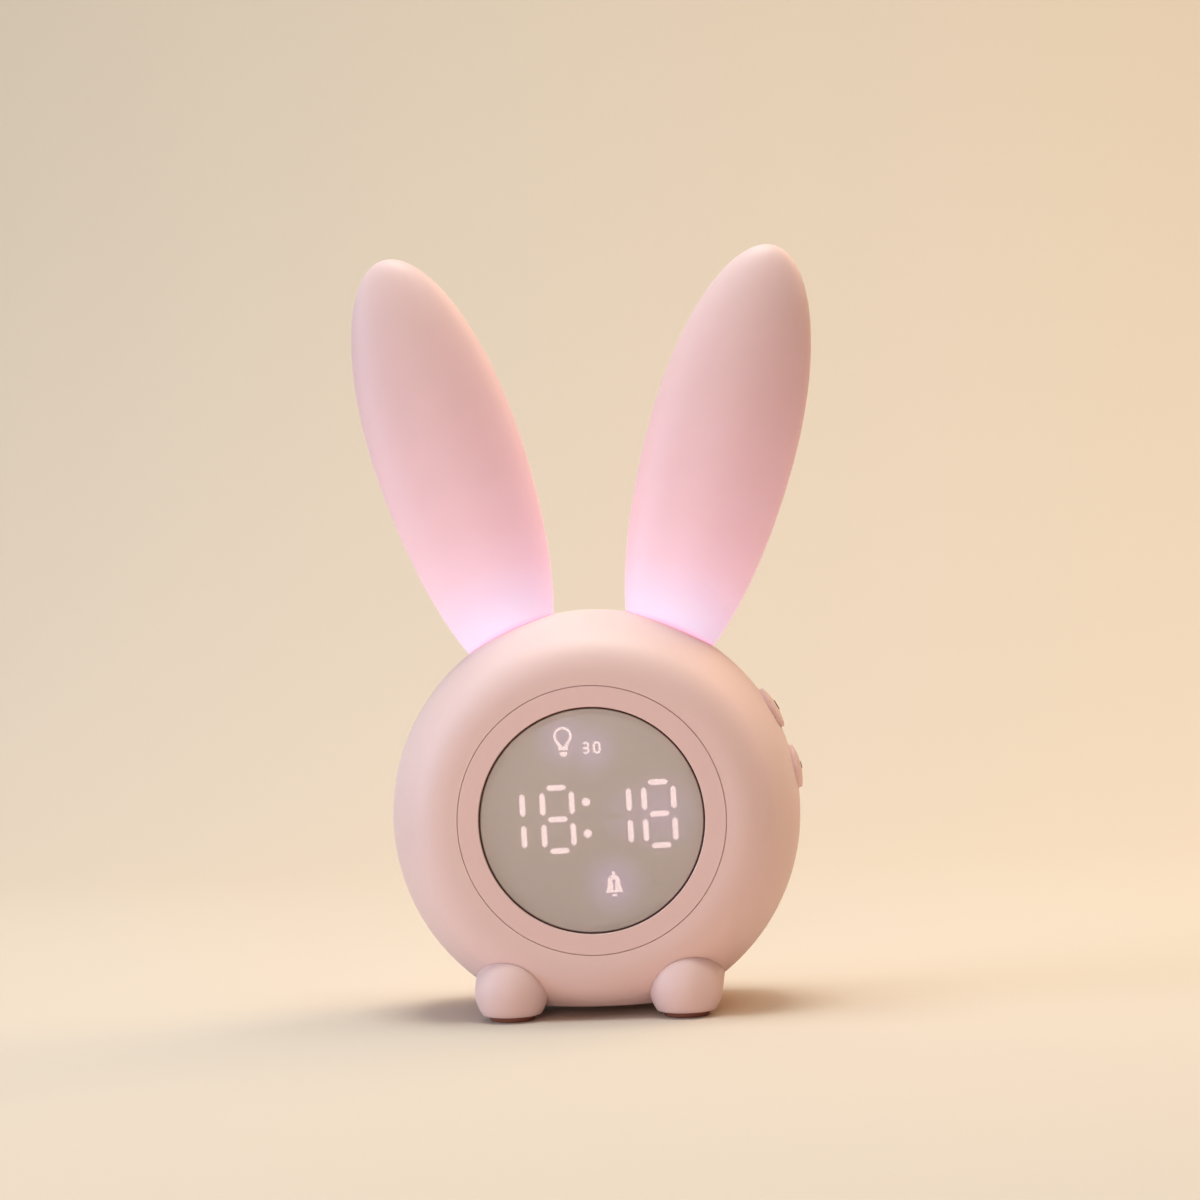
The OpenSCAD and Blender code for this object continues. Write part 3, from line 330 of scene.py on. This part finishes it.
# An ear's size is a hair under the solid one's, so that the rounder skin stays inside its flats.
# It is widest at the belly, and its end reaches below its root before it is trimmed.
EAR_W, EAR_THICK = 40.58, 24.32
EAR_BELLY, EAR_TIP, EAR_TAPER = 52.4, 54.75, 67.2
EAR_SUNK = 6
EAR_LEN = EAR_BELLY + EAR_TIP
EAR_WALL = 1.8
EAR_TILT = radians(16.9)
EAR_ROOT = (53.6 * sin(radians(24.2)), 53.6 * cos(radians(24.2)))
# Width, depth and height of the neck, how far down its middle is, and its rounding, rim and mouth
NECK = (20, 11, 7.2)
NECK_DOWN = 3.25
NECK_ROUND, NECK_RIM, NECK_MOUTH = 5.45, 1.6, 5
# The glow by its way from the root in mm, out to where it ends
EAR_GLOW = 110
GLOW_STOPS = (
    (0, "#b1c2ef"), (10, "#aaa8ce"), (13.7, "#a495ba"), (20.8, "#9f7d9d"), (30, "#8f6681"),
    (42.7, "#7e546c"), (61, "#663e52"), (84.6, "#452230"), (EAR_GLOW, "#210a12"))


def loft(rings, sides):
    """Draws a circle up through rings: (distance, half width, half thickness) in mm."""
    start = rings[0]
    piece = fresh(bpy.ops.mesh.primitive_circle_add, vertices=sides, radius=MM,
                  location=(0, 0, 0), fill_type="NGON")
    bpy.ops.object.mode_set(mode="EDIT")
    bpy.ops.transform.resize(value=(start[1], start[2], 1), center_override=(0, 0, 0))
    bpy.ops.transform.translate(value=(0, 0, start[0] * MM))
    for last, ring in zip(rings, rings[1:]):
        bpy.ops.mesh.extrude_region_move(
            TRANSFORM_OT_translate={"value": (0, 0, (ring[0] - last[0]) * MM)})
        bpy.ops.transform.resize(value=(ring[1] / last[1], ring[2] / last[2], 1),
                                 center_override=(0, 0, ring[0] * MM))
    bpy.ops.mesh.select_all(action="SELECT")
    bpy.ops.mesh.normals_make_consistent(inside=False)
    bpy.ops.object.mode_set(mode="OBJECT")
    return piece


def body_form(grow):
    """The outside of the whole body with a gap all round, to trim pieces to it."""
    edge = HALF_DEPTH - SHOULDER_R
    turn = asin(edge / (SIDE_R - SHOULDER_R))
    half = [(edge + (SHOULDER_R + grow) * sin(a), FACE_R + (SHOULDER_R + grow) * cos(a))
            for a in (turn + (pi / 2 - turn) * k / 12 for k in range(12, -1, -1))]
    arc = [(-(SIDE_R + grow) * sin(turn * k / 12), SIDE_AT + (SIDE_R + grow) * cos(turn * k / 12))
           for k in range(-11, 12)]
    rings = [(-y, r, r) for y, r in half] + [(y, r, r) for y, r in (*arc, *half)]
    form = loft(sorted(rings), 160)
    bpy.ops.object.mode_set(mode="EDIT")
    bpy.ops.mesh.select_all(action="SELECT")
    bpy.ops.transform.rotate(value=pi / 2, orient_axis="X", center_override=(0, 0, 0))
    bpy.ops.transform.translate(value=(0, 0, AXIS_Z * MM))
    bpy.ops.mesh.select_all(action="SELECT")
    bpy.ops.mesh.bisect(plane_co=(0, 0, (GROUND_GAP - grow) * MM), plane_no=(0, 0, 1),
                        use_fill=True, clear_inner=True)
    bpy.ops.mesh.select_all(action="SELECT")
    bpy.ops.mesh.normals_make_consistent(inside=False)
    bpy.ops.object.mode_set(mode="OBJECT")
    return form


def trim(piece, tool):
    """Cuts a piece with a tool, which is thrown away."""
    bpy.context.view_layer.objects.active = piece
    cut = piece.modifiers.new("trim", "BOOLEAN")
    cut.object = tool
    cut.operation = "DIFFERENCE"
    cut.solver = "EXACT"
    bpy.ops.object.modifier_apply(modifier=cut.name)
    bpy.data.objects.remove(tool)


def ear_half(s):
    """Half the width of an ear at a distance up from its root, in mm."""
    share = (EAR_BELLY - s) / EAR_TAPER if s < EAR_BELLY else (s - EAR_BELLY) / EAR_TIP
    return EAR_W / 2 * sqrt(max(0.0, 1 - share * share))


# Silicone with a milky pigment, lit by violet-white LEDs at its root: the light scatters inside
# it, so it fades and turns from violet to pink with the way from the root, down to the plain
# pale pink of the tip. Along the trimmed edge it comes out a stronger pink.
silicone = blank("silicone_milky_pink")
place = add(silicone, "TexCoord").outputs["Object"]
split = add(silicone, "SeparateXYZ", {"Vector": place})
beside = add(silicone, "Math", {0: split.outputs["X"]}, operation="ABSOLUTE")
folded = add(silicone, "CombineXYZ", {"X": beside.outputs["Value"], "Y": split.outputs["Y"],
                                      "Z": split.outputs["Z"]})
from_root = add(silicone, "VectorMath", {0: folded.outputs["Vector"], 1: (
    EAR_ROOT[0] * MM, 0, (AXIS_Z + EAR_ROOT[1]) * MM)}, operation="DISTANCE")
away = add(silicone, "MapRange", {"Value": from_root.outputs["Value"],
                                  "From Min": 0.0, "From Max": EAR_GLOW * MM})
light = add(silicone, "ValToRGB", {"Fac": away.outputs["Result"]})
for at, colour in GLOW_STOPS[1:-1]:
    light.color_ramp.elements.new(at / EAR_GLOW)
for stop, (at, colour) in zip(light.color_ramp.elements, GLOW_STOPS):
    stop.position = at / EAR_GLOW
    stop.color = linear(colour)
light.color_ramp.interpolation = "CARDINAL"
level = add(silicone, "CombineXYZ", {"X": split.outputs["X"], "Z": split.outputs["Z"]})
off_axis = add(silicone, "VectorMath", {0: level.outputs["Vector"], 1: (0, 0, AXIS_Z * MM)},
               operation="DISTANCE")
edge = add(silicone, "MapRange", {"Value": off_axis.outputs["Value"],
                                  "From Min": (BODY_R + 0.9) * MM, "From Max": (BODY_R - 0.7) * MM})
lamp = add(silicone, "Mix", {0: edge.outputs["Result"], 6: light.outputs["Color"],
                             7: linear("#ff8fc0")}, data_type="RGBA")
skin = add(silicone, "TexNoise", {"Vector": place, "Scale": 1000 / 0.3, "Detail": 2.0})
cloud = add(silicone, "TexNoise", {"Vector": place, "Scale": 1000 / 25, "Detail": 2.0})
tone = add(silicone, "Mix", {0: cloud.outputs["Fac"], 6: linear("#e2c2bf"), 7: linear("#debdba")},
           data_type="RGBA")
rough = add(silicone, "MapRange", {"Value": skin.outputs["Fac"], "To Min": 0.42, "To Max": 0.54})
nap = add(silicone, "Bump", {"Height": skin.outputs["Fac"], "Distance": 0.003 * MM})
shader = add(silicone, "BsdfPrincipled", {
    "Base Color": tone.outputs[2], "Roughness": rough.outputs["Result"],
    "Normal": nap.outputs["Normal"], "IOR": 1.41, "Sheen Weight": 0.1,
    "Emission Color": lamp.outputs[2], "Emission Strength": 1.0})
add(silicone, "OutputMaterial", {"Surface": shader.outputs["BSDF"]})

for side, word in ((-1, "left"), (1, "right")):
    # Rings that crowd together towards the tip, which is closed, while the root end is open
    steps = [-EAR_SUNK + (EAR_LEN + EAR_SUNK) * sin(radians(90 * k / 44)) for k in range(44)]
    ear = loft([(s, ear_half(s), ear_half(s) * EAR_THICK / EAR_W)
                for s in steps + [EAR_LEN - 0.004]], 96)
    pick(ear, lambda co: co.z > (EAR_LEN - 0.005) * MM)
    bpy.ops.mesh.merge(type="CENTER")
    bpy.ops.object.mode_set(mode="OBJECT")
    pick(ear, lambda co: co.z < -(EAR_SUNK - 0.01) * MM, "FACE")
    bpy.ops.mesh.delete(type="FACE")
    bpy.ops.object.mode_set(mode="OBJECT")
    wall = ear.modifiers.new("wall", "SOLIDIFY")
    wall.thickness = EAR_WALL * MM
    wall.offset = -1
    bpy.ops.object.modifier_apply(modifier=wall.name)
    ear.rotation_euler = (0, side * EAR_TILT, 0)
    ear.location = (side * EAR_ROOT[0] * MM, 0, (AXIS_Z + EAR_ROOT[1]) * MM)
    bpy.context.view_layer.update()
    tool = body_form(0.1)
    bpy.context.view_layer.update()
    trim(ear, tool)
    # Neck through the shell: a rounded block with its mouth sunk in
    neck = fresh(bpy.ops.mesh.primitive_cube_add, size=MM, location=(0, 0, 0))
    bpy.ops.object.mode_set(mode="EDIT")
    bpy.ops.transform.resize(value=NECK, center_override=(0, 0, 0))
    bpy.ops.transform.translate(value=(0, 0, -NECK_DOWN * MM))
    pick(neck, lambda co: abs(abs(co.x) - NECK[0] / 2 * MM) < 1e-6
         and abs(abs(co.y) - NECK[1] / 2 * MM) < 1e-6
         and abs(co.z + NECK_DOWN * MM) < 1e-4, "EDGE")
    bpy.ops.mesh.bevel(offset=NECK_ROUND * MM, segments=10)
    pick(neck, lambda co: co.z < -(NECK_DOWN + NECK[2] / 2 - 0.05) * MM, "FACE")
    bpy.ops.mesh.inset(thickness=NECK_RIM * MM)
    bpy.ops.transform.translate(value=(0, 0, NECK_MOUTH * MM))
    bpy.ops.object.mode_set(mode="OBJECT")
    neck.rotation_euler = ear.rotation_euler
    neck.location = ear.location
    settle(joined([ear, neck]), "ear_skin_" + word, "clock_body", silicone, 50)
    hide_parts("ear_" + word)


# ---------------------------------------------------------------- ear lights
# A plain white board with three LEDs lies under each neck, with a moulded plate and two screws
# that pull the ear down onto the shell.

# White solder mask on FR4, smooth and semi-gloss, and natural unpigmented ABS, a dull off-white,
# for the plates
white_board = grained("fr4_white_mask", "#ecebe6", "#e4e3dd", 1, 0.3, 0.4, 0.5, 0.003)
natural = grained("abs_natural", "#d9d4cf", "#d2ccc5", 8, 0.45, 0.55, 0.3, 0.003)
dress(white_board, "ear_light_board_left", "ear_light_board_right")
dress(natural, "ear_clamp_left", "ear_clamp_right")


# ---------------------------------------------------------------- paws and heels
# Four solid soft-touch ABS feet. The front paws show as rounded toes and the heels hide behind.
# Each has its top shaped to the body, a flat sole, and a screw from inside the shell.

PAD_H = 1.3
SOLE_ROUND = 0.7
# In mm: middle of the ball, middle of its drawn-out end, radius, and height over the middle
PAW = ((23, -21.35, 7.4), (23.6, -9, 10), 9.65, 9.8)
HEEL = ((22, 24, 6), (22, 20, 7), 7, 7)


def foot(kind, side, word, ball, end, r, tall):
    """A flattened ball drawn out towards the clock's middle, trimmed to the body and flat
    below."""
    ball, end = [(side * spot[0], *spot[1:]) for spot in (ball, end)]
    piece = fresh(bpy.ops.mesh.primitive_uv_sphere_add, segments=96, ring_count=64,
                  radius=r * MM, location=[c * MM for c in ball])
    piece.scale.z = tall / r
    bpy.ops.object.transform_apply(location=True, rotation=False, scale=True)
    away = 1 if end[1] > ball[1] else -1
    pick(piece, lambda co: (co.y / MM - ball[1]) * away > 0.001)
    bpy.ops.transform.translate(value=[(b - a) * MM for a, b in zip(ball, end)])
    bpy.ops.mesh.select_all(action="SELECT")
    bpy.ops.mesh.bisect(plane_co=(0, 0, PAD_H * MM), plane_no=(0, 0, 1), use_fill=True,
                        clear_inner=True)
    pick(piece, lambda co: abs(co.z - PAD_H * MM) < 1e-6, "EDGE")
    bpy.ops.mesh.bevel(offset=SOLE_ROUND * MM, segments=5)
    bpy.ops.object.mode_set(mode="OBJECT")
    trim(piece, body_form(0.15))
    settle(piece, kind + "_form_" + word, "clock_body", lacquer, 35)
    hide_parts(kind + "_" + word)


for side, word in ((-1, "left"), (1, "right")):
    foot("paw", side, word, *PAW)
    foot("heel", side, word, *HEEL)

# Moulded rubber pads: matt, rosy brown, slightly dusty
rubber = grained("rubber_rosy_brown", "#8b513e", "#7e4735", 3, 0.7, 0.85, 0.3, 0.006)
dress(rubber, "paw_pad_left", "paw_pad_right", "heel_pad_left", "heel_pad_right")


# ---------------------------------------------------------------- side buttons
# Two domed ABS caps in bores on the right-hand side, each on a small push switch. The upper one
# is for the light and the lower one for the alarm, with a small printed mark on each.

dress(satin, "light_button", "alarm_button")
# Glass-filled PBT switch bodies, dull grey, and black acetal plungers with a waxy gloss
pbt = grained("pbt_grey", "#4a4a4c", "#434345", 4, 0.5, 0.6, 0.4, 0.004)
acetal = grained("pom_black", "#2b2b2b", "#252525", 4, 0.35, 0.45, 0.3, 0.002)
dress(pbt, "light_switch", "alarm_switch")
dress(acetal, "light_switch_plunger", "alarm_switch_plunger")

# Pad printing ink, dark brown: a ring on the light button's crown and a dot on the alarm's. It
# is drawn far thicker than real ink, its underside sunk in the dome, so that its edge shows.
print_ink = grained("ink_pad_print", "#4a2c28", "#422724", 2, 0.5, 0.6, 0.3, 0.001)
# Degrees up from level to the middle of the pair, and from one button to the other
BUTTON_UP, BUTTON_STEP = 20.2, 17.7
CROWN_R = BODY_R + 1.7
INK_T, INK_SUNK, RING_W = 0.22, 0.08, 0.6
for word, turn, radius in (("light", BUTTON_UP + BUTTON_STEP / 2, 1.4),
                           ("alarm", BUTTON_UP - BUTTON_STEP / 2, 1.0)):
    out = Vector((cos(radians(turn)), 0, sin(radians(turn))))
    mark = fresh(bpy.ops.mesh.primitive_circle_add, vertices=40, radius=radius * MM,
                 fill_type="NGON")
    bpy.ops.object.mode_set(mode="EDIT")
    if word == "light":
        bpy.ops.mesh.inset(thickness=RING_W * MM)
        bpy.ops.mesh.delete(type="FACE")
        bpy.ops.mesh.select_all(action="SELECT")
    bpy.ops.mesh.extrude_region_move(TRANSFORM_OT_translate={"value": (0, 0, INK_T * MM)})
    bpy.ops.mesh.select_all(action="SELECT")
    bpy.ops.mesh.normals_make_consistent(inside=False)
    bpy.ops.object.mode_set(mode="OBJECT")
    mark.rotation_euler = (0, pi / 2 - radians(turn), 0)
    mark.location = Vector((0, 0, AXIS_Z)) * MM + out * (CROWN_R - INK_SUNK) * MM
    settle(mark, "mark_" + word, word + "_button", print_ink)


# ---------------------------------------------------------------- main board
# Green board near the back with the clock chip, a few parts, six lead connectors, the charging
# socket and the power switch, on four screws.

# Moulded epoxy, a dull charcoal; lacquered parts in tan and grey patches; unpigmented nylon, a
# waxy cream; tinned and drawn stainless steel, two soft bright metals; acetal, a smooth brown
epoxy = grained("epoxy_chip_black", "#232324", "#1d1d1e", 3, 0.5, 0.62, 0.25, 0.003)
parts = grained("coated_parts_tan", "#a58a63", "#6d6a66", 3, 0.35, 0.5, 0.4, 0.003)
nylon = grained("nylon_connector_cream", "#e9e2cc", "#e0d8bf", 4, 0.4, 0.5, 0.3, 0.002)
tinned = grained("steel_tinned", "#c4c2bd", "#b3b1ab", 2, 0.25, 0.35, 0.3, 0.002, Metallic=1.0)
stainless = grained("stainless_drawn", "#c9c7c2", "#bbb8b2", 3, 0.2, 0.3, 0.4, 0.002,
                    Metallic=1.0)
slider = grained("pom_slider_brown", "#8f6a62", "#866159", 5, 0.4, 0.5, 0.3, 0.003)
dress(epoxy, "clock_chip")
dress(parts, "board_parts")
dress(nylon, "board_connectors")
dress(tinned, "power_switch")
dress(stainless, "usb_socket")
dress(slider, "power_slider")


# ---------------------------------------------------------------- speaker
# Small round speaker behind the grille: a coated steel basket, a ferrite magnet and a pressed
# paper cone, sealed to the cover by a ring of black foam.

# Dip-coated steel with a low gloss, sintered ferrite, dull and gritty, paper pulp with its
# fibres showing, and closed-cell EVA foam, black and fully matt
basket = grained("steel_black_coated", "#3b3b3d", "#323234", 5, 0.4, 0.5, 0.4, 0.004)
ferrite = grained("ferrite_grey", "#4c4b4b", "#434242", 2, 0.6, 0.7, 0.3, 0.006)
paper = grained("paper_pulp_grey", "#5c5854", "#4d4945", 1.2, 0.85, 0.95, 0.5, 0.03)
black_foam = grained("eva_foam_black", "#2c2c2c", "#252525", 2, 0.85, 0.95, 0.4, 0.02)
dress(basket, "speaker_frame")
dress(ferrite, "speaker_magnet")
dress(paper, "speaker_cone")
dress(black_foam, "speaker_gasket")


# ---------------------------------------------------------------- battery and leads
# Flat lithium cell in a shrink sleeve, stuck to the shell with foam tape, and the soft leads
# that join the boards.

# Shrunk PET film, silver and slightly rippled; white foam tape with a chalky edge; and plain
# extruded PVC sleeves, smooth with a low gloss
sleeve = grained("pet_sleeve_silver", "#b8bcc0", "#a9adb1", 6, 0.3, 0.4, 1.5, 0.02)
white_foam = grained("foam_tape_white", "#e6e4de", "#dcd9d2", 2, 0.8, 0.9, 0.4, 0.02)
pvc_black = grained("pvc_lead_black", "#262626", "#202020", 4, 0.4, 0.5, 0.4, 0.003)
pvc_red = grained("pvc_lead_red", "#a52a26", "#992420", 4, 0.4, 0.5, 0.4, 0.003)
pvc_cream = grained("pvc_lead_cream", "#e2d9c6", "#d9cfba", 4, 0.4, 0.5, 0.4, 0.003)
dress(sleeve, "battery")
dress(white_foam, "battery_tape")
dress(pvc_red, "battery_lead")
dress(pvc_black, "speaker_lead", "button_lead")
dress(pvc_cream, "display_lead", "ear_lead_left", "ear_lead_right")


# ---------------------------------------------------------------- studio
# A seamless sweep of cream paper that rises behind the clock, soft lights above, to the left and
# in front, a warm one behind to the right, and a camera level with the clock's shoulders.

# In metres: width and depth of the flat paper, its back edge, the curve's radius and the rise
SWEEP_W, SWEEP_D, SWEEP_BACK, SWEEP_CURVE, SWEEP_RISE = 6, 3, 0.4, 0.6, 3
sweep = fresh(bpy.ops.mesh.primitive_plane_add, size=1, location=(0, 0, 0))
bpy.ops.object.mode_set(mode="EDIT")
bpy.ops.transform.resize(value=(SWEEP_W, SWEEP_D, 1), center_override=(0, 0, 0))
bpy.ops.transform.translate(value=(0, SWEEP_BACK - SWEEP_D / 2, 0))
pick(sweep, lambda co: co.y > SWEEP_BACK - 0.1, "EDGE")
bpy.ops.mesh.spin(steps=24, angle=-pi / 2, center=(0, SWEEP_BACK, SWEEP_CURVE), axis=(1, 0, 0))
bpy.ops.mesh.extrude_region_move(TRANSFORM_OT_translate={"value": (0, 0, SWEEP_RISE)})
bpy.ops.object.mode_set(mode="OBJECT")
bpy.ops.object.select_all(action="DESELECT")
sweep.select_set(True)
bpy.ops.object.shade_smooth()
sweep.name = "sweep"

# Matt coated paper, painted a shade darker as it rises: painted shade for the light falling off up
# the sweep
paper_cream_painted_shade = blank("paper_cream_painted_shade")
place = add(paper_cream_painted_shade, "TexCoord").outputs["Object"]
rise = add(paper_cream_painted_shade, "SeparateXYZ", {"Vector": place}).outputs["Z"]
share = add(paper_cream_painted_shade, "MapRange", {
    "Value": rise, "From Min": 0.0, "From Max": SWEEP_CURVE})
tone = add(paper_cream_painted_shade, "Mix", {0: share.outputs["Result"], 6: linear("#d5c5b8"),
                                7: linear("#cfc0b0")}, data_type="RGBA")
matt = add(paper_cream_painted_shade, "BsdfDiffuse", {"Color": tone.outputs[2]})
add(paper_cream_painted_shade, "OutputMaterial", {"Surface": matt.outputs["BSDF"]})
sweep.data.materials.append(paper_cream_painted_shade)

LAMPS = (
    # name, place, aim and size in metres, watts, colour
    ("ceiling", (0, 0.1, 1.3), (0, 0, 0.1), 1.4, 9.0, "#f8fff7"),
    ("top", (0, 0, 1.3), (0, 0, 0.1), 0.5, 10.0, "#f9fff6"),
    ("window", (-1.2, -0.3, 0.35), (0, 0, 0.08), 0.8, 9.5, "#bfe1ff"),
    ("front", (-0.2, -1.3, 0.2), (0, 0, 0.08), 0.6, 6.0, "#ffefe6"),
    ("warm", (0.8, 0.5, 0.9), (0, 0, 0.1), 0.7, 6.2, "#ffd69e"),
)
for name, at, aim, size, watts, colour in LAMPS:
    lamp = bpy.data.lights.new(name, "AREA")
    lamp.shape = "SQUARE"
    lamp.size = size
    lamp.energy = watts
    lamp.color = linear(colour)[:3]
    stand = bpy.data.objects.new(name, lamp)
    stand.location = at
    stand.rotation_euler = (Vector(aim) - Vector(at)).to_track_quat("-Z", "Y").to_euler()
    bpy.context.scene.collection.objects.link(stand)

world = bpy.data.worlds.new("room")
world.use_nodes = True
world.node_tree.nodes["Background"].inputs["Color"].default_value = linear("#ffe2cc")
world.node_tree.nodes["Background"].inputs["Strength"].default_value = 0.05
bpy.context.scene.world = world

# The camera's turn round the clock and its roll, then in metres how far off, how high and how
# far to the side it stands
AZIMUTH, ROLL = radians(2.7), radians(2.0)
AWAY, EYE, ASIDE = 0.78, 0.1097, 0.0029
camera = bpy.data.cameras.new("camera")
camera.sensor_width = 36
camera.lens = 86.5
camera.clip_start, camera.clip_end = 0.01, 20
tripod = bpy.data.objects.new("camera", camera)
tripod.location = (AWAY * sin(AZIMUTH) + ASIDE * cos(AZIMUTH),
                   -AWAY * cos(AZIMUTH) + ASIDE * sin(AZIMUTH), EYE)
looking = Vector((-sin(AZIMUTH), cos(AZIMUTH), 0)).to_track_quat("-Z", "Y").to_matrix()
tripod.rotation_euler = (looking @ Matrix.Rotation(-ROLL, 3, "Z")).to_euler()
bpy.context.scene.collection.objects.link(tripod)
bpy.context.scene.camera = tripod
bpy.context.scene.view_settings.view_transform = "Standard"

bpy.context.view_layer.update()
